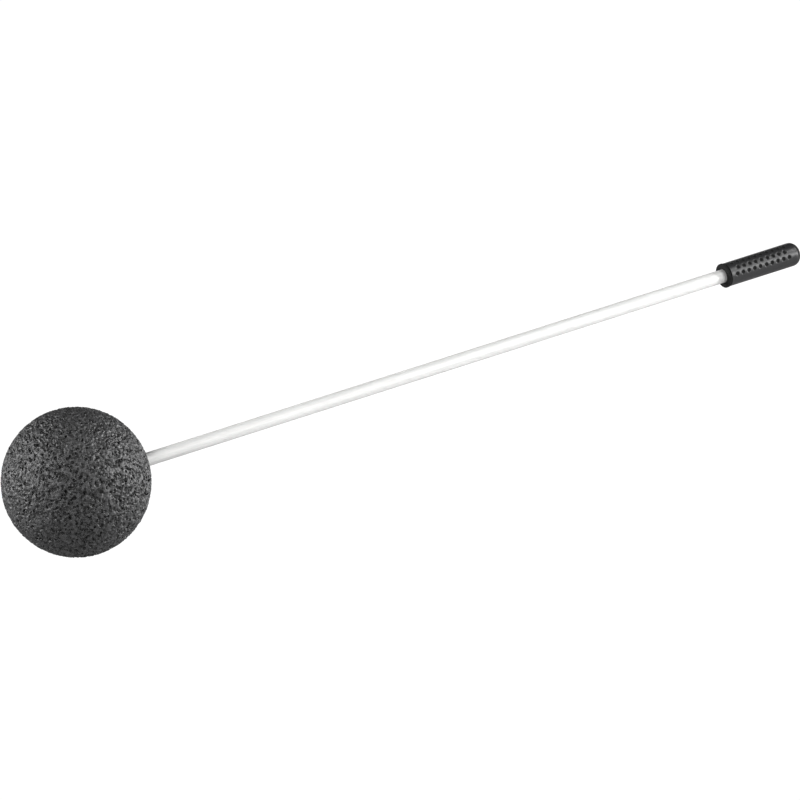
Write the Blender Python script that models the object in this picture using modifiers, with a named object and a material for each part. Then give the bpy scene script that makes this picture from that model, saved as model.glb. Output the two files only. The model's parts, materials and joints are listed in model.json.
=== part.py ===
"""Gong mallet: a rough-skinned rubber ball on a straight white rod, with a closed rubber grip.

Metres, +Z up. The mallet lies as it does on a table, with its ball at -X and its grip at +X,
so its axis falls slightly towards the grip, and ball and butt both touch z = 0.
The origin is on that plane, under the middle of the mallet.
"""

import math

import bmesh
import bpy
from mathutils import Matrix, Vector

# Ball, measured over the crumbs of its skin
BALL_DIAMETER = 0.066
MOUTH_CHAMFER = 0.0004

# Crumbs of its skin, only the main ones: their flat tops and the clefts between them
CRUMB_SPACING = 0.0042
CRUMB_DEPTH = 0.0012
CRUMB_TOP = 0.1
CLEFT_FLOOR = 0.7
CLEFT_WANDER = 1.0
CELL_LIFT = 2.0

# Turn of the ball about the rod, which stands it steadily between two crumbs
BALL_TURN = math.radians(17.4)

# Rod, with the lengths that are glued into the ball and the grip
ROD_DIAMETER = 0.006
ROD_BETWEEN = 0.317
ROD_IN_BALL = 0.038
ROD_IN_GRIP = 0.036
ROD_CHAMFER = 0.0004

# Glue line all round the rod, and at both its ends
GLUE_GAP = 0.0003

# Grip, a sleeve with one closed end
GRIP_WALL = 0.0020
BUTT_WALL = 0.0047
BUTT_FLAT_DIAMETER = 0.0030

# Lip round the grip's mouth, and the groove behind it
LIP_HEIGHT = 0.0002
LIP_LENGTH = 0.0009
LIP_ROUND = 0.0003
GROOVE_WIDTH = 0.0006
GROOVE_DEPTH = 0.0004

# Dimples where the thumb presses, in staggered rows along the grip
DIMPLE_WIDTH = 0.0020
DIMPLE_DEPTH = 0.00045
DIMPLE_PITCH = 0.0032
DIMPLE_ROWS = 3
DIMPLE_ROW_ANGLE = math.radians(32.0)
DIMPLES_TURN = math.radians(31.0)
DIMPLES_FROM_GROOVE = 0.0030
DIMPLES_FROM_BUTT = 0.0025

# Finishes: name, linear base colour, roughness
BALL_FINISH = ("rough black rubber", (0.055, 0.055, 0.056), 0.8)
ROD_FINISH = ("white glass-fibre rod", (0.88, 0.88, 0.87), 0.25)
GRIP_FINISH = ("black grip rubber", (0.045, 0.045, 0.047), 0.45)

# Facets
BALL_DIVISIONS = 2
BALL_CUTS = 10
ROD_STEPS = 40
GRIP_STEPS = 48
BUTT_ARC_STEPS = 6
ROUND_ARC_STEPS = 3
DIMPLE_STEPS = 10
SMOOTH_ANGLE = math.radians(30.0)
MERGE_DISTANCE = 0.00001

# Sizes that follow from the ones above
BALL_RADIUS = BALL_DIAMETER / 2
ROD_RADIUS = ROD_DIAMETER / 2
BORE_RADIUS = ROD_RADIUS + GLUE_GAP
GRIP_RADIUS = BORE_RADIUS + GRIP_WALL
GRIP_LENGTH = ROD_IN_GRIP + GLUE_GAP + BUTT_WALL
BUTT_FLAT_RADIUS = BUTT_FLAT_DIAMETER / 2
BUTT_ROUND = GRIP_RADIUS - BUTT_FLAT_RADIUS
LIP_RADIUS = GRIP_RADIUS + LIP_HEIGHT
GROOVE_END = LIP_LENGTH + GROOVE_WIDTH
ROD_START = BALL_RADIUS - ROD_IN_BALL
ROD_LENGTH = ROD_IN_BALL + ROD_BETWEEN + ROD_IN_GRIP
GRIP_START = BALL_RADIUS + ROD_BETWEEN
BUTT_ROUND_START = GRIP_START + GRIP_LENGTH - BUTT_ROUND


def resting_tilt():
    """The angle by which the axis falls, so that the ball and the butt's rounding both touch z = 0."""
    reach = math.hypot(BUTT_ROUND_START, BUTT_FLAT_RADIUS)
    fall = math.asin((BALL_RADIUS - BUTT_ROUND) / reach)
    return fall - math.atan2(BUTT_FLAT_RADIUS, BUTT_ROUND_START)


def ball_centre(tilt):
    """The place of the ball's centre that puts the origin under the middle of the mallet."""
    reach = BUTT_ROUND_START * math.cos(tilt) + BUTT_FLAT_RADIUS * math.sin(tilt) + BUTT_ROUND
    return Vector(((BALL_RADIUS - reach) / 2, 0.0, BALL_RADIUS))


def arc(centre, radius, start, end, steps):
    """Points (radius from the axis, height) along an arc; its angles are taken from the axis."""
    points = []
    for i in range(steps + 1):
        angle = start + (end - start) * i / steps
        points.append((centre[0] + radius * math.sin(angle), centre[1] + radius * math.cos(angle)))
    return points


def material(name, colour, roughness):
    made = bpy.data.materials.new(name)
    made.use_nodes = True
    shader = made.node_tree.nodes["Principled BSDF"]
    shader.inputs["Base Color"].default_value = (*colour, 1.0)
    shader.inputs["Roughness"].default_value = roughness
    shader.inputs["Metallic"].default_value = 0.0
    return made


def add_object(name, mesh, collection):
    made = bpy.data.objects.new(name, mesh)
    collection.objects.link(made)
    return made


def turned(name, profile, steps, collection):
    """A turned piece: its profile goes down the outer side, and turns once about local Z."""
    outline = bpy.data.meshes.new(name)
    corners = [(radius, 0.0, height) for radius, height in profile]
    outline.from_pydata(corners, [(i, i + 1) for i in range(len(corners) - 1)], [])
    made = add_object(name, outline, collection)
    screw = made.modifiers.new("turn", "SCREW")
    screw.steps = steps
    screw.render_steps = steps
    screw.use_merge_vertices = True
    screw.merge_threshold = MERGE_DISTANCE
    seen = made.evaluated_get(bpy.context.evaluated_depsgraph_get())
    made.data = bpy.data.meshes.new_from_object(seen)
    made.modifiers.clear()
    bpy.data.meshes.remove(outline)
    return made


def place(piece, axis, distance, finish):
    """Puts a piece on the mallet's axis, at its distance from the ball's centre."""
    piece.parent = axis
    piece.location = (0.0, 0.0, distance)
    piece.data.materials.clear()
    piece.data.materials.append(finish)
    piece.data.shade_smooth()
    piece.data.set_sharp_from_angle(angle=SMOOTH_ANGLE)


def crumb_texture():
    """A net of cells, bent out of true by a noise and lifted so that all its values are positive.

    It is white on the crumbs' tops and black on the clefts' floors.
    """
    made = bpy.data.textures.new("crumbs", "DISTORTED_NOISE")
    made.noise_basis = "VORONOI_F2_F1"
    made.noise_distortion = "IMPROVED_PERLIN"
    made.distortion = CLEFT_WANDER
    made.noise_scale = CRUMB_SPACING
    made.intensity = CELL_LIFT
    made.use_color_ramp = True
    top, floor = made.color_ramp.elements
    top.position = CRUMB_TOP
    top.color = (1.0, 1.0, 1.0, 1.0)
    floor.position = CLEFT_FLOOR
    floor.color = (0.0, 0.0, 0.0, 1.0)
    return made


def make_bore_cutter(axis, collection):
    """A plug of the bore's shape, which widens past the mouth's chamfer."""
    floor = ROD_START - GLUE_GAP
    rim = math.sqrt(BALL_RADIUS**2 - (BORE_RADIUS + MOUTH_CHAMFER) ** 2)
    flare = BALL_RADIUS - rim + CRUMB_DEPTH + MOUTH_CHAMFER
    profile = [
        (0.0, rim - MOUTH_CHAMFER + flare),
        (BORE_RADIUS + flare, rim - MOUTH_CHAMFER + flare),
        (BORE_RADIUS, rim - MOUTH_CHAMFER),
        (BORE_RADIUS, floor),
        (0.0, floor),
    ]
    cutter = turned("bore_cutter", profile, ROD_STEPS, collection)
    cutter.parent = axis
    cutter.hide_render = True
    cutter.display_type = "WIRE"
    return cutter


def make_ball(axis, collection, cutters):
    """The head: a solid ball with a crumbed skin and a blind bore for the rod, its local +Z."""
    shape = bmesh.new()
    bmesh.ops.create_icosphere(shape, subdivisions=BALL_DIVISIONS, radius=BALL_RADIUS)
    bmesh.ops.subdivide_edges(shape, edges=shape.edges[:], cuts=BALL_CUTS, use_grid_fill=True)
    mesh = bpy.data.meshes.new("ball_head")
    shape.to_mesh(mesh)
    shape.free()
    ball = add_object("ball_head", mesh, collection)
    rounding = ball.modifiers.new("rounding", "CAST")
    rounding.cast_type = "SPHERE"
    rounding.factor = 1.0
    rounding.use_radius_as_size = False
    rounding.size = BALL_RADIUS
    crumbs = ball.modifiers.new("crumbs", "DISPLACE")
    crumbs.texture = crumb_texture()
    crumbs.texture_coords = "LOCAL"
    crumbs.strength = CRUMB_DEPTH
    crumbs.mid_level = 1.0
    place(ball, axis, 0.0, material(*BALL_FINISH))
    ball.rotation_euler = (0.0, 0.0, BALL_TURN)
    bore = ball.modifiers.new("bore", "BOOLEAN")
    bore.operation = "DIFFERENCE"
    bore.object = make_bore_cutter(axis, cutters)
    return ball


def make_rod(axis, collection):
    """The rod: a plain cylinder with both ends chamfered, centred on its own middle."""
    shape = bmesh.new()
    bmesh.ops.create_cone(
        shape,
        cap_ends=True,
        segments=ROD_STEPS,
        radius1=ROD_RADIUS,
        radius2=ROD_RADIUS,
        depth=ROD_LENGTH,
    )
    mesh = bpy.data.meshes.new("rod")
    shape.to_mesh(mesh)
    shape.free()
    rod = add_object("rod", mesh, collection)
    chamfer = rod.modifiers.new("chamfer", "BEVEL")
    chamfer.limit_method = "ANGLE"
    chamfer.width = ROD_CHAMFER
    chamfer.segments = 1
    middle = ROD_START + ROD_LENGTH / 2
    place(rod, axis, middle, material(*ROD_FINISH))
    return rod


def grip_profile():
    """From the middle of the butt, down the outside to the lip, and up the bore to its floor."""
    quarter = math.pi / 2
    profile = [(0.0, GRIP_LENGTH)]
    round_centre = (BUTT_FLAT_RADIUS, GRIP_LENGTH - BUTT_ROUND)
    profile += arc(round_centre, BUTT_ROUND, 0.0, quarter, BUTT_ARC_STEPS)
    profile += [
        (GRIP_RADIUS, GROOVE_END),
        (GRIP_RADIUS - GROOVE_DEPTH, GROOVE_END),
        (GRIP_RADIUS - GROOVE_DEPTH, LIP_LENGTH),
        (LIP_RADIUS, LIP_LENGTH),
    ]
    lip_centre = (LIP_RADIUS - LIP_ROUND, LIP_ROUND)
    profile += arc(lip_centre, LIP_ROUND, quarter, math.pi, ROUND_ARC_STEPS)
    floor = ROD_IN_GRIP + GLUE_GAP
    profile += [
        (BORE_RADIUS + MOUTH_CHAMFER, 0.0),
        (BORE_RADIUS, MOUTH_CHAMFER),
        (BORE_RADIUS, floor),
        (0.0, floor),
    ]
    return profile


def dimple_places():
    """(turn about the axis, height) of each dimple; every second row is shifted by half a pitch."""
    first = GROOVE_END + DIMPLES_FROM_GROOVE
    last = GRIP_LENGTH - BUTT_ROUND - DIMPLES_FROM_BUTT
    places = []
    for row in range(DIMPLE_ROWS):
        turn = DIMPLES_TURN + (row - (DIMPLE_ROWS - 1) / 2) * DIMPLE_ROW_ANGLE
        height = first + (row % 2) * DIMPLE_PITCH / 2
        while height <= last:
            places.append((turn, height))
            height += DIMPLE_PITCH
    return places


def make_dimple_cutter(axis, collection):
    """Balls that sink into the grip's wall by the dimples' depth."""
    half = DIMPLE_WIDTH / 2
    radius = (half * half + DIMPLE_DEPTH * DIMPLE_DEPTH) / (2 * DIMPLE_DEPTH)
    offset = GRIP_RADIUS - DIMPLE_DEPTH + radius
    shape = bmesh.new()
    for turn, height in dimple_places():
        outward = Matrix.Rotation(turn, 4, "Z") @ Matrix.Translation((-offset, 0.0, height))
        aimed = outward @ Matrix.Rotation(math.pi / 2, 4, "Y")
        bmesh.ops.create_uvsphere(
            shape,
            u_segments=DIMPLE_STEPS,
            v_segments=DIMPLE_STEPS,
            radius=radius,
            matrix=aimed,
        )
    mesh = bpy.data.meshes.new("dimple_cutter")
    shape.to_mesh(mesh)
    shape.free()
    cutter = add_object("dimple_cutter", mesh, collection)
    cutter.parent = axis
    cutter.location = (0.0, 0.0, GRIP_START)
    cutter.hide_render = True
    cutter.display_type = "WIRE"
    return cutter


def make_grip(axis, collection, cutters):
    """The grip: one moulded sleeve, closed at the butt, with a lip, a groove and dimples."""
    grip = turned("grip", grip_profile(), GRIP_STEPS, collection)
    place(grip, axis, GRIP_START, material(*GRIP_FINISH))
    dimples = grip.modifiers.new("dimples", "BOOLEAN")
    dimples.operation = "DIFFERENCE"
    dimples.object = make_dimple_cutter(axis, cutters)
    return grip


def main():
    for old in list(bpy.data.objects):
        bpy.data.objects.remove(old)
    mallet = bpy.data.collections.new("gong_mallet")
    cutters = bpy.data.collections.new("cutters")
    bpy.context.scene.collection.children.link(mallet)
    bpy.context.scene.collection.children.link(cutters)

    tilt = resting_tilt()
    axis = add_object("mallet_axis", None, mallet)
    axis.location = ball_centre(tilt)
    axis.rotation_euler = (0.0, math.pi / 2 + tilt, 0.0)

    make_ball(axis, mallet, cutters)
    make_rod(axis, mallet)
    make_grip(axis, mallet, cutters)

    bpy.context.view_layer.update()
    butt = axis.matrix_world @ Vector((0.0, 0.0, GRIP_START + GRIP_LENGTH))
    outward = axis.matrix_world.to_3x3() @ Vector((0.0, 0.0, 1.0))
    print("resting tilt, degrees:", round(math.degrees(tilt), 3))
    print("ball centre:", [round(v, 6) for v in axis.location])
    print("middle of the butt's flat:", [round(v, 6) for v in butt])
    print("axis, away from the ball:", [round(v, 6) for v in outward])


main()
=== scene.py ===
# %% [markdown]
# A gong mallet, dressed for its portrait
#
# The mallet is rubbed or struck against a gong. It has three pieces: a rubber ball with a
# coarse, crumbed skin, a straight white rod of glass fibre, and a small closed rubber grip.
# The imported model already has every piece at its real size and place. This script leaves
# that frame alone and gives each piece the fine shape and the finish that the eye expects.
# All lengths are in metres, with +Z up.

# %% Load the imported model
import json
import math

import bmesh
import bpy
import numpy as np
from mathutils import Matrix, Vector


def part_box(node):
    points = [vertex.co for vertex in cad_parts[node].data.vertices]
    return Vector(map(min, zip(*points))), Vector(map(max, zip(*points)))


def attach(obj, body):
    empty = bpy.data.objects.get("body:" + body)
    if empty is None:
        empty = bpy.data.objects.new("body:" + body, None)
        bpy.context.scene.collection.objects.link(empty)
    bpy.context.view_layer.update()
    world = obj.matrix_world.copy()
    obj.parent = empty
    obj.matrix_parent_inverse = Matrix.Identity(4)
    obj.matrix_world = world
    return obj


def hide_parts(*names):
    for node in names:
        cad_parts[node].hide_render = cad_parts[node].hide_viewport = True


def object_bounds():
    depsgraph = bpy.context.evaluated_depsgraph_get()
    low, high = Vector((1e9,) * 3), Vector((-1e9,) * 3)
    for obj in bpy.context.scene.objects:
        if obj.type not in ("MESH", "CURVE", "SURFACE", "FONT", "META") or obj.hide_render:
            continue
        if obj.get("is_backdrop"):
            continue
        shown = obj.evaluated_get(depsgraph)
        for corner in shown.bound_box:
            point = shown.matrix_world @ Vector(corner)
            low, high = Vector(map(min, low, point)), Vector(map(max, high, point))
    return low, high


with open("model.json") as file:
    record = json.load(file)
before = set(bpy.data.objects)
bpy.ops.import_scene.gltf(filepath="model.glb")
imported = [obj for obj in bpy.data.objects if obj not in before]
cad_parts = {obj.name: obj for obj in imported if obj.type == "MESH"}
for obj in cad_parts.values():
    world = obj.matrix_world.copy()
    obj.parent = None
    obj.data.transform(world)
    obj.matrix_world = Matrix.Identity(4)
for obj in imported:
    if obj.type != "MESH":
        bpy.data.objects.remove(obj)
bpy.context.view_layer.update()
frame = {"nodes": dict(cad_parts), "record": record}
MM = 0.001

# %% [markdown]
# Where the mallet lies
#
# The mallet is a turned thing, so one line tells where everything is: its axis. The record
# states the flat at the grip's closed end, a point on the axis with the axis's direction.
# The ball's centre is the place on that line beside the middle of the ball's box, and its
# radius reaches the highest crumb. Every piece below is modelled upright on the world's Z
# axis, where it is easy to reason about, and is then laid on this line.

# %% Find the mallet's axis
butt = frame["record"]["mounts"][0]
AXIS = Vector(butt["axis"]).normalized()
BUTT = Vector(butt["pos_m"])
ball_low, ball_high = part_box("ball_head")
BALL_CENTRE = BUTT + AXIS * ((ball_low + ball_high) / 2 - BUTT).dot(AXIS)
BALL_RADIUS = max((v.co - BALL_CENTRE).length for v in frame["nodes"]["ball_head"].data.vertices)
UPRIGHT = Vector((0, 0, 1))
ON_AXIS = Matrix.Translation(BALL_CENTRE) @ UPRIGHT.rotation_difference(AXIS).to_matrix().to_4x4()
print("ball centre, mm:", [round(v / MM, 2) for v in BALL_CENTRE])
print("ball radius, mm:", round(BALL_RADIUS / MM, 3))


# %% [markdown]
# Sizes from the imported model
#
# The rod and the grip could be given their lengths as numbers, but then they would be wrong
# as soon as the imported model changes. Each is measured instead: how far its points reach
# along the axis, and how far out from it.

# %% Measure each piece along the axis
def measure(node):
    """(start, end, largest radius) of a CAD node, as distances along and from the axis."""
    along, out = [], []
    for vertex in frame["nodes"][node].data.vertices:
        reach = vertex.co - BALL_CENTRE
        distance = reach.dot(AXIS)
        along.append(distance)
        out.append((reach - AXIS * distance).length)
    return min(along), max(along), max(out)


ROD_START, ROD_END, ROD_RADIUS = measure("rod")
GRIP_START, GRIP_END, LIP_RADIUS = measure("grip")
print("rod, mm:", round(ROD_START / MM, 2), round(ROD_END / MM, 2), round(ROD_RADIUS / MM, 3))
print("grip, mm:", round(GRIP_START / MM, 2), round(GRIP_END / MM, 2), round(LIP_RADIUS / MM, 3))

# %% [markdown]
# The camera
#
# The photograph was taken from above the ball's side, with the grip pointing away, through
# a long lens: the rod is as thick beside the grip as beside the ball. The angles, the lens
# and the aim were solved from the ball's circle and from the two ends of the grip.

# %% Place the camera
CAMERA_AZIMUTH = math.radians(35.3)
CAMERA_ELEVATION = math.radians(33.69)
CAMERA_DISTANCE = 7.0
CAMERA_LENS = 714.1
CAMERA_SIGHT = 50.0
CAMERA_AIM = Vector((-0.00362, 0.00337, 0.00671))

TO_CAMERA = Vector(
    (
        -math.sin(CAMERA_AZIMUTH) * math.cos(CAMERA_ELEVATION),
        -math.cos(CAMERA_AZIMUTH) * math.cos(CAMERA_ELEVATION),
        math.sin(CAMERA_ELEVATION),
    )
)
bpy.ops.object.camera_add(location=CAMERA_AIM + TO_CAMERA * CAMERA_DISTANCE)
camera = bpy.context.object
camera.rotation_euler = TO_CAMERA.to_track_quat("Z", "Y").to_euler()
camera.data.lens = CAMERA_LENS
camera.data.clip_end = CAMERA_SIGHT
bpy.context.scene.camera = camera


# %% [markdown]
# Small tools for modelling and for materials
#
# Modelling by hand is a rhythm: choose some faces, edges or points, then do one thing to
# them. The first helpers do the choosing, by place, to within a hair. Colours are written as
# sRGB hex values, the numbers a paint program shows, and one function turns them into the
# linear values that the renderer wants. One more adds a shader node with its settings and links.

# %% Choosing and shaping
HAIR = 0.01 * MM


def begin(piece):
    """Makes a piece the only one selected and opens it in edit mode."""
    bpy.ops.object.select_all(action="DESELECT")
    piece.select_set(True)
    bpy.context.view_layer.objects.active = piece
    bpy.ops.object.mode_set(mode="EDIT")


def choose(piece, kind, test):
    """Selects the faces, edges or points of the open piece whose corners all pass the test."""
    bpy.ops.mesh.select_mode(type=kind)
    bpy.ops.mesh.select_all(action="DESELECT")
    shape = bmesh.from_edit_mesh(piece.data)
    items = {"FACE": shape.faces, "EDGE": shape.edges, "VERT": shape.verts}[kind]
    for item in items:
        corners = [item] if kind == "VERT" else item.verts
        if all(test(corner.co) for corner in corners):
            item.select_set(True)
    shape.select_flush_mode()
    bmesh.update_edit_mesh(piece.data)


def finish_modifiers(piece):
    """Applies every modifier of a piece, in order."""
    bpy.ops.object.select_all(action="DESELECT")
    piece.select_set(True)
    bpy.context.view_layer.objects.active = piece
    for modifier in list(piece.modifiers):
        bpy.ops.object.modifier_apply(modifier=modifier.name)


def lay_on_axis(piece, distance):
    """Moves an upright mesh onto the mallet's axis, at a distance from the ball's centre."""
    piece.data.transform(ON_AXIS @ Matrix.Translation((0, 0, distance)))
    piece.data.update()


# %% Colours and nodes
def colour(hex_value):
    """Linear RGBA of an sRGB hex colour such as "2a2a2b"."""
    linear = []
    for i in (0, 2, 4):
        value = int(hex_value[i : i + 2], 16) / 255
        linear.append(value / 12.92 if value <= 0.04045 else ((value + 0.055) / 1.055) ** 2.4)
    return (*linear, 1.0)


def new_material(name):
    """An empty material, its tree and its Principled shader."""
    made = bpy.data.materials.new(name)
    made.use_nodes = True
    return made, made.node_tree, made.node_tree.nodes["Principled BSDF"]


def add_node(tree, kind, settings=None, values=None, links=None):
    """Adds a node; values fill its inputs, and links join outputs of other nodes to its inputs."""
    made = tree.nodes.new(kind)
    for name, value in (settings or {}).items():
        setattr(made, name, value)
    for name, value in (values or {}).items():
        made.inputs[name].default_value = value
    for name, output in (links or {}).items():
        tree.links.new(output, made.inputs[name])
    return made


# %% [markdown]
# The ball's skin
#
# The ball is moulded rubber with a skin like crushed cork: soft-edged crumbs about two
# millimetres across with dark clefts between them, and finer crumbs on those. A bump map
# alone would leave the outline as smooth as glass, so the clefts are real geometry here. A
# cube that is subdivided and cast to a sphere has no poles and evenly sized faces, which
# suits a texture that has no direction. Three Displace modifiers then press the skin into
# it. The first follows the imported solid's own main crumbs, so that both dip in the same
# places. The second leaves the crumbs broad tops, and the third breaks those up. All of them
# only press inwards, so the ball keeps its full diameter at the tops. At the end the ball is
# turned about the rod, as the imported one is.

# %% Model the ball
SKIN_LEVELS = 7
MAIN_SPACING = 4.2 * MM
MAIN_DEPTH = 0.3 * MM
CRUMB_SPACING = 1.9 * MM
CRUMB_DEPTH = 0.9 * MM
FINE_SPACING = 1.05 * MM
FINE_DEPTH = 0.3 * MM
ROUND_TOP = (0.2, 0.8)
BROAD_TOP = (0.4, 0.85)
NARROW_FLOOR = 0.7
NARROWER_FLOOR = 0.8
CLEFT_WANDER = 1.0
CELL_LIFT = 2.0
BALL_TURN = math.radians(17.4)

bpy.ops.mesh.primitive_cube_add(size=BALL_RADIUS)
ball = bpy.context.object
ball.name = "ball_skin"
rounding = ball.modifiers.new("rounding", "SUBSURF")
rounding.levels = SKIN_LEVELS
rounding.render_levels = SKIN_LEVELS
cast = ball.modifiers.new("cast", "CAST")
cast.cast_type = "SPHERE"
cast.factor = 1.0
cast.use_radius_as_size = False
cast.size = BALL_RADIUS
finish_modifiers(ball)


def press_in(piece, texture, depth):
    """Pushes the skin in where the texture is dark, by up to the depth."""
    displace = piece.modifiers.new(texture.name, "DISPLACE")
    displace.texture = texture
    displace.texture_coords = "LOCAL"
    displace.strength = depth
    displace.mid_level = 1.0


def clefts(name, spacing, shoulder, floor):
    """A cell pattern bent out of true by a second noise: white tops, black clefts.

    The shoulder is the place and the height at which a top begins to fall off steeply, and
    the floor is the place where it reaches the bottom.
    """
    made = bpy.data.textures.new(name, "DISTORTED_NOISE")
    made.noise_basis = "VORONOI_F2_F1"
    made.noise_distortion = "IMPROVED_PERLIN"
    made.distortion = CLEFT_WANDER
    made.noise_scale = spacing
    made.intensity = CELL_LIFT
    made.use_color_ramp = True
    slope = made.color_ramp
    slope.elements[0].position = 0.0
    slope.elements[0].color = (1, 1, 1, 1)
    slope.elements[1].position = floor
    slope.elements[1].color = (0, 0, 0, 1)
    place, height = shoulder
    slope.elements.new(place).color = (height, height, height, 1)
    return made


press_in(ball, clefts("main_crumbs", MAIN_SPACING, ROUND_TOP, NARROW_FLOOR), MAIN_DEPTH)
press_in(ball, clefts("crumbs", CRUMB_SPACING, BROAD_TOP, NARROWER_FLOOR), CRUMB_DEPTH)
press_in(ball, clefts("fine_crumbs", FINE_SPACING, ROUND_TOP, NARROW_FLOOR), FINE_DEPTH)
finish_modifiers(ball)

# %% [markdown]
# The bore
#
# The ball is glued on the rod, which fills a blind bore. The rod could simply run into the
# closed skin, but then the ball's mesh would not be a piece that can be made by itself. A
# boolean with a plain cylinder cuts the bore, as a drill would.

# %% Bore the ball for the rod
BORE_SIDES = 96
BORE_GAP = 0.1 * MM
bpy.ops.mesh.primitive_cylinder_add(
    vertices=BORE_SIDES,
    radius=ROD_RADIUS + BORE_GAP,
    depth=BALL_RADIUS * 2,
    location=(0, 0, ROD_START + BALL_RADIUS),
)
drill = bpy.context.object
bore = ball.modifiers.new("bore", "BOOLEAN")
bore.operation = "DIFFERENCE"
bore.object = drill
finish_modifiers(ball)
bpy.data.objects.remove(drill)
ball.data.shade_smooth()
ball.data.transform(Matrix.Rotation(BALL_TURN, 4, "Z"))
lay_on_axis(ball, 0.0)
reach = [(v.co - BALL_CENTRE).length / MM for v in ball.data.vertices]
print("ball faces:", len(ball.data.polygons), "largest radius, mm:", round(max(reach), 3))

# %% [markdown]
# Pitted black rubber
#
# Rubber is a dull dielectric: its black comes from carbon in the mix, and its only shine is
# the weak reflection that every smooth skin has. Its index of refraction is about 1.52, and
# 1.6 matched the photograph's bright flanks best. The clefts are painted darker than the tops:
# this is painted shade, laid over the shadow that the lamps cast into them. The shader tells
# tops from clefts by their distance from the ball's centre, so the painted shade always agrees
# with the shape. Pits two millimetres apart have walls that are too steep for
# the mesh, so a bump map makes them: under a lamp that grazes the skin they turn into small
# black marks, and where the light comes from the front they hardly show. A second noise
# moves the pits off their regular cells. A fine grain under both keeps the tops dull.

# %% Paint the ball
RUBBER_IOR = 1.6
RUBBER_ROUGHNESS = 0.5
# The clefts' colour is painted shade: darker than the rubber of the tops, so the hollows look deeper
# in shadow.
CLEFT_PAINTED_SHADE = "323232"
RUBBER_TOPS = "454546"
CLEFT_FLOOR = BALL_RADIUS - 1.0 * MM
GRAIN_SPACING = 0.55 * MM
GRAIN_HEIGHT = 0.04 * MM
PIT_SPACING = 1.9 * MM
PIT_DEPTH = 1.4 * MM
PIT_FLOOR = 0.1
PIT_BRIM = 0.45
PIT_WANDER = 0.8 * MM
SWAY_SPACING = 1.5 * PIT_SPACING

rubber, tree, shader = new_material("pitted_black_rubber")
place = add_node(tree, "ShaderNodeTexCoord")
radius_here = add_node(
    tree,
    "ShaderNodeVectorMath",
    {"operation": "DISTANCE"},
    {1: BALL_CENTRE},
    {0: place.outputs["Object"]},
)
cleft_shade_mask = add_node(
    tree,
    "ShaderNodeMapRange",
    {"interpolation_type": "SMOOTHSTEP"},
    {"From Min": CLEFT_FLOOR, "From Max": BALL_RADIUS},
    {"Value": radius_here.outputs["Value"]},
)
# Painted shade: this ramp darkens the skin towards the floors of the clefts.
skin = add_node(tree, "ShaderNodeValToRGB", links={"Fac": cleft_shade_mask.outputs["Result"]})
skin.color_ramp.elements[0].color = colour(CLEFT_PAINTED_SHADE)
skin.color_ramp.elements[1].color = colour(RUBBER_TOPS)
grain = add_node(
    tree,
    "ShaderNodeTexNoise",
    {"noise_dimensions": "3D"},
    {"Scale": 1 / GRAIN_SPACING, "Detail": 3.0, "Roughness": 0.6},
    {"Vector": place.outputs["Object"]},
)
grain_bump = add_node(
    tree,
    "ShaderNodeBump",
    values={"Strength": 1.0, "Distance": GRAIN_HEIGHT},
    links={"Height": grain.outputs["Fac"]},
)
sway = add_node(
    tree,
    "ShaderNodeTexNoise",
    {"noise_dimensions": "3D"},
    {"Scale": 1 / SWAY_SPACING, "Detail": 1.0},
    {"Vector": place.outputs["Object"]},
)
bent_place = add_node(
    tree,
    "ShaderNodeVectorMath",
    {"operation": "MULTIPLY_ADD"},
    {1: (PIT_WANDER, PIT_WANDER, PIT_WANDER)},
    {0: sway.outputs["Color"], 2: place.outputs["Object"]},
)
pits = add_node(
    tree,
    "ShaderNodeTexVoronoi",
    {"voronoi_dimensions": "3D", "feature": "F1"},
    {"Scale": 1 / PIT_SPACING},
    {"Vector": bent_place.outputs["Vector"]},
)
pit_height = add_node(
    tree,
    "ShaderNodeMapRange",
    {"interpolation_type": "SMOOTHSTEP"},
    {"From Min": PIT_FLOOR, "From Max": PIT_BRIM},
    {"Value": pits.outputs["Distance"]},
)
pit_bump = add_node(
    tree,
    "ShaderNodeBump",
    values={"Strength": 1.0, "Distance": PIT_DEPTH},
    links={"Height": pit_height.outputs["Result"], "Normal": grain_bump.outputs["Normal"]},
)
shader.inputs["IOR"].default_value = RUBBER_IOR
shader.inputs["Roughness"].default_value = RUBBER_ROUGHNESS
tree.links.new(skin.outputs["Color"], shader.inputs["Base Color"])
tree.links.new(pit_bump.outputs["Normal"], shader.inputs["Normal"])
ball.data.materials.append(rubber)
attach(ball, "root")
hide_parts("ball_head")

# %% [markdown]
# The rod
#
# The rod is drawn glass fibre: a straight, smooth, slightly milky bar. It starts as a
# cylinder with enough sides to look round and gets its two chamfers with a bevel.

# %% Model the rod
ROD_SIDES = 96
ROD_CHAMFER = 0.4 * MM
ROD_SMOOTH_TO = math.radians(30)
rod_length = ROD_END - ROD_START
bpy.ops.mesh.primitive_cylinder_add(vertices=ROD_SIDES, radius=ROD_RADIUS, depth=rod_length)
rod = bpy.context.object
rod.name = "rod_glass_fibre"
begin(rod)
half = rod_length / 2
choose(rod, "EDGE", lambda co: abs(abs(co.z) - half) < HAIR)
bpy.ops.mesh.bevel(offset=ROD_CHAMFER, segments=2, affect="EDGES")
bpy.ops.object.mode_set(mode="OBJECT")
bpy.ops.object.shade_smooth_by_angle(angle=ROD_SMOOTH_TO)
lay_on_axis(rod, (ROD_START + ROD_END) / 2)
print("rod length, mm:", round(rod_length / MM, 1))

# %% [markdown]
# White glass fibre
#
# Glass fibre without pigment is a milky white, because light scatters among the strands.
# Bundles of strands run from end to end and show as faint streaks, so the noise that tints
# and roughens the rod is stretched eighty times along the axis. The resin over the strands
# is smooth but not glossy, which gives the rod one broad, soft highlight.

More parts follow.
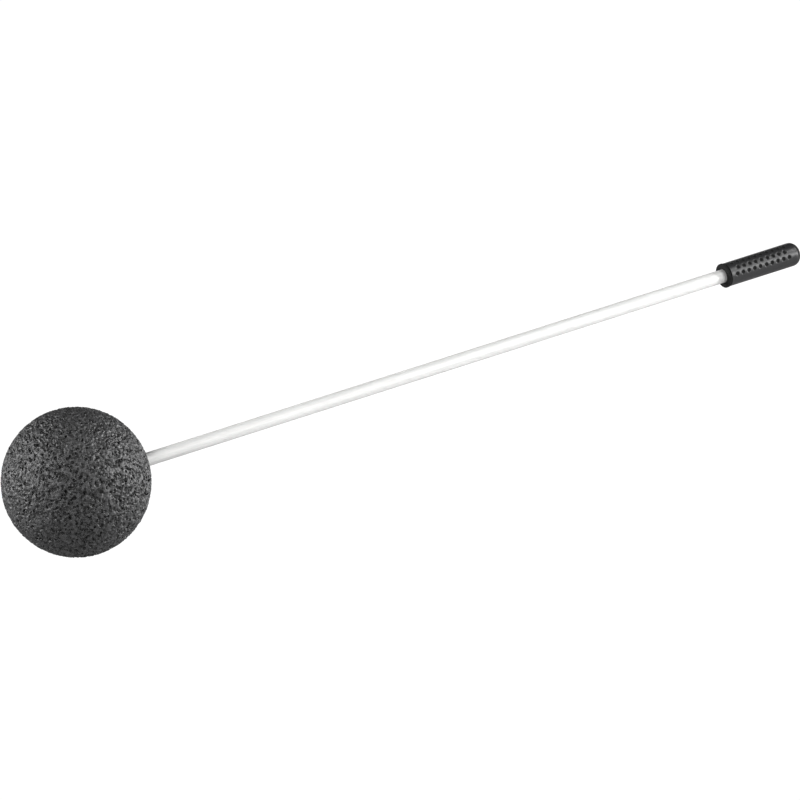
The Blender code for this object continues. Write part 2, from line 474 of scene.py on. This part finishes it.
# %% Paint the rod
STRAND_WIDTH = 0.7 * MM
STRAND_STRETCH = 80.0
STRAND_HEIGHT = 0.002 * MM
STRAND_GREY = "c5c5c4"
STRAND_WHITE = "cdcdcc"
GREY_UP_TO = 0.35
WHITE_FROM = 0.6
RESIN_IOR = 1.53
RESIN_ROUGHNESS = (0.42, 0.52)

milky, tree, shader = new_material("drawn_white_glass_fibre")
place = add_node(tree, "ShaderNodeTexCoord")
along_rod = add_node(
    tree,
    "ShaderNodeMapping",
    {"vector_type": "TEXTURE"},
    {"Rotation": AXIS.to_track_quat("X", "Z").to_euler(), "Scale": (STRAND_STRETCH, 1.0, 1.0)},
    {"Vector": place.outputs["Object"]},
)
strands = add_node(
    tree,
    "ShaderNodeTexNoise",
    {"noise_dimensions": "3D"},
    {"Scale": 1 / STRAND_WIDTH, "Detail": 3.0, "Roughness": 0.6},
    {"Vector": along_rod.outputs["Vector"]},
)
milk = add_node(tree, "ShaderNodeValToRGB", links={"Fac": strands.outputs["Fac"]})
milk.color_ramp.elements[0].position = GREY_UP_TO
milk.color_ramp.elements[0].color = colour(STRAND_GREY)
milk.color_ramp.elements[1].position = WHITE_FROM
milk.color_ramp.elements[1].color = colour(STRAND_WHITE)
polish = add_node(
    tree,
    "ShaderNodeMapRange",
    values={"To Min": RESIN_ROUGHNESS[0], "To Max": RESIN_ROUGHNESS[1]},
    links={"Value": strands.outputs["Fac"]},
)
strand_bump = add_node(
    tree,
    "ShaderNodeBump",
    values={"Strength": 1.0, "Distance": STRAND_HEIGHT},
    links={"Height": strands.outputs["Fac"]},
)
shader.inputs["IOR"].default_value = RESIN_IOR
tree.links.new(milk.outputs["Color"], shader.inputs["Base Color"])
tree.links.new(polish.outputs["Result"], shader.inputs["Roughness"])
tree.links.new(strand_bump.outputs["Normal"], shader.inputs["Normal"])
rod.data.materials.append(milky)
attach(rod, "root")
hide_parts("rod")

# %% [markdown]
# The grip
#
# The grip is one moulded rubber sleeve. It starts as a cylinder and is shaped in the order
# in which a maker would turn it: cuts for the lip and the groove, the groove pressed in, the
# lip let out, the butt rounded over, the mouth inset and pushed down to make the blind bore.

# %% Rough out the grip
GRIP_SIDES = 192
GRIP_LENGTH = GRIP_END - GRIP_START
LIP_HEIGHT = 0.2 * MM
LIP_LENGTH = 0.9 * MM
GROOVE_WIDTH = 0.6 * MM
GROOVE_DEPTH = 0.4 * MM
GRIP_RADIUS = LIP_RADIUS - LIP_HEIGHT
BUTT_ROUND = 3.8 * MM
BUTT_STEPS = 18
MOUTH_GAP = 0.05 * MM

bpy.ops.mesh.primitive_cylinder_add(
    vertices=GRIP_SIDES,
    radius=GRIP_RADIUS,
    depth=GRIP_LENGTH,
    location=(0, 0, GRIP_LENGTH / 2),
)
grip = bpy.context.object
grip.name = "grip_sleeve"
bpy.ops.object.transform_apply(location=True, rotation=True, scale=True)
begin(grip)


def radius_of(co):
    return math.hypot(co.x, co.y)


groove_end = LIP_LENGTH + GROOVE_WIDTH
for height in (LIP_LENGTH, groove_end):
    bpy.ops.mesh.select_all(action="SELECT")
    bpy.ops.mesh.bisect(plane_co=(0, 0, height), plane_no=(0, 0, 1))
choose(grip, "FACE", lambda co: LIP_LENGTH - HAIR < co.z < groove_end + HAIR)
bpy.ops.mesh.extrude_region_shrink_fatten(TRANSFORM_OT_shrink_fatten={"value": -GROOVE_DEPTH})
choose(grip, "VERT", lambda co: co.z < LIP_LENGTH + HAIR and radius_of(co) > GRIP_RADIUS - HAIR)
let_out = LIP_RADIUS / GRIP_RADIUS
bpy.ops.transform.resize(value=(let_out, let_out, 1.0), center_override=(0, 0, 0))
choose(grip, "EDGE", lambda co: co.z > GRIP_LENGTH - HAIR)
bpy.ops.mesh.bevel(offset=BUTT_ROUND, segments=BUTT_STEPS, affect="EDGES")

# %% Open the mouth
LIP_ROUND = 0.28 * MM
BORE_ROUND = 0.15 * MM
mouth_radius = ROD_RADIUS + MOUTH_GAP
choose(grip, "FACE", lambda co: co.z < HAIR)
bpy.ops.mesh.inset(thickness=LIP_RADIUS - mouth_radius)
choose(grip, "FACE", lambda co: co.z < HAIR and radius_of(co) < mouth_radius + HAIR)
bore_depth = ROD_END - GRIP_START + MOUTH_GAP
bpy.ops.mesh.extrude_region_move(TRANSFORM_OT_translate={"value": (0, 0, bore_depth)})
choose(grip, "EDGE", lambda co: co.z < HAIR and radius_of(co) > LIP_RADIUS - HAIR)
bpy.ops.mesh.bevel(offset=LIP_ROUND, segments=4, affect="EDGES")
choose(grip, "EDGE", lambda co: co.z < HAIR and radius_of(co) < mouth_radius + HAIR)
bpy.ops.mesh.bevel(offset=BORE_ROUND, segments=3, affect="EDGES")

# %% [markdown]
# A finer wall
#
# So far the wall's faces run in one piece from the groove to the rounded butt, and a dimple
# needs points to push down. The long edges are cut in two goes, because one goes no finer
# than a hundred cuts, and only they are chosen, so that the groove and the bore stay light.

# %% Cut the wall fine enough for dimples
WALL_CUTS = (100, 1)
SHORTEST_CUT = 0.1 * MM
round_start = GRIP_LENGTH - BUTT_ROUND
for cuts in WALL_CUTS:
    shape = bmesh.from_edit_mesh(grip.data)
    bpy.ops.mesh.select_mode(type="EDGE")
    bpy.ops.mesh.select_all(action="DESELECT")
    for edge in shape.edges:
        a, b = (v.co for v in edge.verts)
        outside = min(radius_of(a), radius_of(b)) > GRIP_RADIUS - HAIR
        low, high = sorted((a.z, b.z))
        on_wall = low > groove_end - HAIR and high < round_start + HAIR
        if outside and on_wall and high - low > SHORTEST_CUT:
            edge.select_set(True)
    bmesh.update_edit_mesh(grip.data)
    bpy.ops.mesh.subdivide(number_cuts=cuts)

# %% [markdown]
# Dimples for the thumb
#
# A smooth rubber sleeve turns in the fingers, so the side that faces up when the mallet is
# held has three staggered rows of shallow dimples. Proportional editing makes them in one
# stroke: only the middle point of each dimple is chosen, and its neighbours follow it down
# with a round falloff, as clay would under a fingertip.

# %% Press the dimples
DIMPLE_WIDTH = 2.0 * MM
DIMPLE_DEPTH = 0.45 * MM
DIMPLE_PITCH = 3.2 * MM
DIMPLE_ROWS = 3
DIMPLE_ROW_ANGLE = math.radians(32.0)
DIMPLES_TURN = math.radians(31.0)
DIMPLES_FROM_GROOVE = 3.0 * MM
DIMPLES_FROM_BUTT = 2.5 * MM
GRIP_SMOOTH_TO = math.radians(40)


def dimple_middles():
    """The middle of each dimple on the upright grip's wall."""
    first = groove_end + DIMPLES_FROM_GROOVE
    last = round_start - DIMPLES_FROM_BUTT
    middles = []
    for row in range(DIMPLE_ROWS):
        turn = DIMPLES_TURN + (row - (DIMPLE_ROWS - 1) / 2) * DIMPLE_ROW_ANGLE
        height = first + (row % 2) * DIMPLE_PITCH / 2
        while height <= last:
            across, up = -GRIP_RADIUS * math.cos(turn), -GRIP_RADIUS * math.sin(turn)
            middles.append(Vector((across, up, height)))
            height += DIMPLE_PITCH
    return middles


shape = bmesh.from_edit_mesh(grip.data)
bpy.ops.mesh.select_mode(type="VERT")
bpy.ops.mesh.select_all(action="DESELECT")
wall = [v for v in shape.verts if abs(radius_of(v.co) - GRIP_RADIUS) < HAIR]
places = np.array([v.co for v in wall])
for middle in dimple_middles():
    nearest = int(np.argmin(((places - np.array(middle)) ** 2).sum(1)))
    wall[nearest].select_set(True)
bmesh.update_edit_mesh(grip.data)
bpy.ops.transform.shrink_fatten(
    value=-DIMPLE_DEPTH,
    use_proportional_edit=True,
    proportional_edit_falloff="SPHERE",
    proportional_size=DIMPLE_WIDTH / 2,
)
bpy.ops.object.mode_set(mode="OBJECT")
bpy.ops.object.shade_smooth_by_angle(angle=GRIP_SMOOTH_TO)
print("grip faces:", len(grip.data.polygons))

# %% [markdown]
# Satin black rubber
#
# The mould was finely blasted, so the grip has an even grain that breaks its shine into a
# soft band. Fingers polish the wall a little unevenly. The groove and the dimples lie out of
# their reach and stay dull, and their near-black is painted shade, darker than the wall's
# rubber. The lip is painted the same near-black and dull. The shader knows the hollows by
# their distance from the axis, which is less than the wall's, and the lip by its place along it.

# %% Paint the grip
GRIP_GRAIN_SPACING = 0.35 * MM
GRIP_GRAIN_HEIGHT = 0.02 * MM
HANDLED_SPACING = 6.0 * MM
HOLLOW_FLOOR = GRIP_RADIUS - 0.3 * MM
HOLLOW_BRIM = GRIP_RADIUS - 0.05 * MM
DARK_LIP_TO = 1.4 * MM
DARK_LIP_FADE = 0.4 * MM
DULL = 0.95
POLISHED = (0.33, 0.44)
# Painted shade for the groove and the dimples; the lip is given the same near-black.
HOLLOW_SHADE_AND_LIP_BLACK = "0d0d0d"
WALL_BLACK = "2e2e2f"
GRIP_IOR = 1.52

satin, tree, shader = new_material("moulded_satin_rubber")
place = add_node(tree, "ShaderNodeTexCoord")
from_centre = add_node(
    tree,
    "ShaderNodeVectorMath",
    {"operation": "SUBTRACT"},
    {1: BALL_CENTRE},
    {0: place.outputs["Object"]},
)
off_axis = add_node(
    tree,
    "ShaderNodeVectorMath",
    {"operation": "CROSS_PRODUCT"},
    {1: AXIS},
    {0: from_centre.outputs["Vector"]},
)
wall_radius = add_node(
    tree,
    "ShaderNodeVectorMath",
    {"operation": "LENGTH"},
    links={0: off_axis.outputs["Vector"]},
)
hollows = add_node(
    tree,
    "ShaderNodeMapRange",
    values={"From Min": HOLLOW_FLOOR, "From Max": HOLLOW_BRIM},
    links={"Value": wall_radius.outputs["Value"]},
)
along_grip = add_node(
    tree,
    "ShaderNodeVectorMath",
    {"operation": "DOT_PRODUCT"},
    {1: AXIS},
    {0: from_centre.outputs["Vector"]},
)
lip = add_node(
    tree,
    "ShaderNodeMapRange",
    values={"From Min": GRIP_START + DARK_LIP_TO, "From Max": GRIP_START + DARK_LIP_TO + DARK_LIP_FADE},
    links={"Value": along_grip.outputs["Value"]},
)
plain_wall = add_node(
    tree,
    "ShaderNodeMath",
    {"operation": "MINIMUM"},
    links={0: hollows.outputs["Result"], 1: lip.outputs["Result"]},
)
# Painted shade: the hollows and the lip take the near-black, and the rest of the wall keeps its own
# rubber colour.
black = add_node(tree, "ShaderNodeValToRGB", links={"Fac": plain_wall.outputs["Value"]})
black.color_ramp.elements[0].color = colour(HOLLOW_SHADE_AND_LIP_BLACK)
black.color_ramp.elements[1].color = colour(WALL_BLACK)
handled = add_node(
    tree,
    "ShaderNodeTexNoise",
    {"noise_dimensions": "3D"},
    {"Scale": 1 / HANDLED_SPACING, "Detail": 3.0, "Roughness": 0.6},
    {"Vector": place.outputs["Object"]},
)
sheen = add_node(
    tree,
    "ShaderNodeMapRange",
    values={"To Min": POLISHED[0], "To Max": POLISHED[1]},
    links={"Value": handled.outputs["Fac"]},
)
gloss = add_node(
    tree,
    "ShaderNodeMix",
    {"data_type": "FLOAT"},
    {"A": DULL},
    {"Factor": plain_wall.outputs["Value"], "B": sheen.outputs["Result"]},
)
blasting = add_node(
    tree,
    "ShaderNodeTexNoise",
    {"noise_dimensions": "3D"},
    {"Scale": 1 / GRIP_GRAIN_SPACING, "Detail": 2.0, "Roughness": 0.5},
    {"Vector": place.outputs["Object"]},
)
blast_bump = add_node(
    tree,
    "ShaderNodeBump",
    values={"Strength": 1.0, "Distance": GRIP_GRAIN_HEIGHT},
    links={"Height": blasting.outputs["Fac"]},
)
shader.inputs["IOR"].default_value = GRIP_IOR
tree.links.new(black.outputs["Color"], shader.inputs["Base Color"])
tree.links.new(gloss.outputs["Result"], shader.inputs["Roughness"])
tree.links.new(blast_bump.outputs["Normal"], shader.inputs["Normal"])
grip.data.materials.append(satin)
lay_on_axis(grip, GRIP_START)
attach(grip, "root")
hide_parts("grip")

# %% [markdown]
# The studio
#
# The photograph was taken on a light table: the ground is pure white and shows no shadow. A
# real light table would also light the ball from below, where the photograph's ball is dark,
# so this floor shines only for the camera and is plain grey to everything else.

# %% Floor
FLOOR_SIZE = 60.0
FLOOR_GREY = 0.6
FLOOR_ROUGHNESS = 0.9
FLOOR_GLOW = 1.05
bpy.ops.mesh.primitive_plane_add(size=FLOOR_SIZE)
floor = bpy.context.object
floor.name = "floor"
table, tree, shader = new_material("light_table")
shader.inputs["Base Color"].default_value = (FLOOR_GREY, FLOOR_GREY, FLOOR_GREY, 1.0)
shader.inputs["Roughness"].default_value = FLOOR_ROUGHNESS
shader.inputs["Specular IOR Level"].default_value = 0.0
glow = add_node(
    tree,
    "ShaderNodeEmission",
    values={"Color": (1.0, 1.0, 1.0, 1.0), "Strength": FLOOR_GLOW},
)
seen_floor = add_node(tree, "ShaderNodeLightPath")
lit = add_node(
    tree,
    "ShaderNodeMixShader",
    links={
        0: seen_floor.outputs["Is Camera Ray"],
        1: shader.outputs["BSDF"],
        2: glow.outputs["Emission"],
    },
)
tree.links.new(lit.outputs["Shader"], tree.nodes["Material Output"].inputs["Surface"])
floor.data.materials.append(table)
floor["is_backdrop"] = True

# %% [markdown]
# Lamps
#
# What lights the rubber is a pair of small soft boxes far out at the sides. They graze the
# ball, so every crumb of its flanks gets a bright side and a dark one, while the middle of
# the ball stays dark. Two larger boxes stand where the grip mirrors them as a soft band, two
# small ones light the upper flanks, and two fills, one of them very large and behind the
# camera, open the dark parts. All are far away, so both ends of the mallet get the same
# light. Each lamp's place is told as a photographer would: how far it stands off the line
# from the mallet to the camera, and towards which side.

# %% Lights
CAMERA_RIGHT = Vector((math.cos(CAMERA_AZIMUTH), -math.sin(CAMERA_AZIMUTH), 0))
CAMERA_UP = TO_CAMERA.cross(CAMERA_RIGHT)
LAMP_DISTANCE = 8.0
SMALL_LAMP = 1.0
SOFT_LAMP = 2.4
FILL_LAMP = 3 * SOFT_LAMP


def softbox(name, off, side, watts, size):
    """A square lamp, off the camera's line by an angle; side 0 is right, 90 up and 180 left."""
    off, side = math.radians(off), math.radians(side)
    sideways = CAMERA_RIGHT * math.cos(side) + CAMERA_UP * math.sin(side)
    way = TO_CAMERA * math.cos(off) + sideways * math.sin(off)
    bpy.ops.object.light_add(type="AREA", location=way * LAMP_DISTANCE)
    made = bpy.context.object
    made.name = name
    made.data.shape = "SQUARE"
    made.data.size = size
    made.data.energy = watts
    made.rotation_euler = way.to_track_quat("Z", "Y").to_euler()


softbox("left_edge", 90, 168, 640.0, SMALL_LAMP)
softbox("right_edge", 95, 12, 620.0, SMALL_LAMP)
softbox("right_band", 63, 12, 345.0, SOFT_LAMP)
softbox("high_right", 80, 45, 170.0, SMALL_LAMP)
softbox("high_band", 58, 42, 95.0, SOFT_LAMP)
softbox("high_left", 60, 140, 295.0, SMALL_LAMP)
softbox("left_fill", 35, 180, 190.0, SOFT_LAMP)
softbox("front_fill", 0, 0, 240.0, FILL_LAMP)

# %% [markdown]
# The white round the table, and the print
#
# From low angles the camera looks past the floor's edge, so the world is the same white to
# it. The world lights nothing, which keeps the clefts black. The Standard view shows colours
# as they are, and a gamma a little under one opens the dark tones as the photograph's print
# does.

# %% World and film
WORLD_LIGHT = 0.0
PRINT_GAMMA = 0.85
world = bpy.data.worlds.new("studio")
bpy.context.scene.world = world
world.use_nodes = True
sky = world.node_tree
background = sky.nodes["Background"]
background.inputs["Color"].default_value = (1.0, 1.0, 1.0, 1.0)
background.inputs["Strength"].default_value = WORLD_LIGHT
seen = add_node(sky, "ShaderNodeLightPath")
white = add_node(
    sky,
    "ShaderNodeBackground",
    values={"Color": (1.0, 1.0, 1.0, 1.0), "Strength": FLOOR_GLOW},
)
both = add_node(
    sky,
    "ShaderNodeMixShader",
    links={
        0: seen.outputs["Is Camera Ray"],
        1: background.outputs["Background"],
        2: white.outputs["Background"],
    },
)
sky.links.new(both.outputs["Shader"], sky.nodes["World Output"].inputs["Surface"])
bpy.context.scene.view_settings.view_transform = "Standard"
bpy.context.scene.view_settings.gamma = PRINT_GAMMA

# %% [markdown]
# The dressed mallet's box
#
# The box round every drawn piece of the dressed mallet is measured, with the floor left out.

# %% Measure the dressed mallet
low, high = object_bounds()
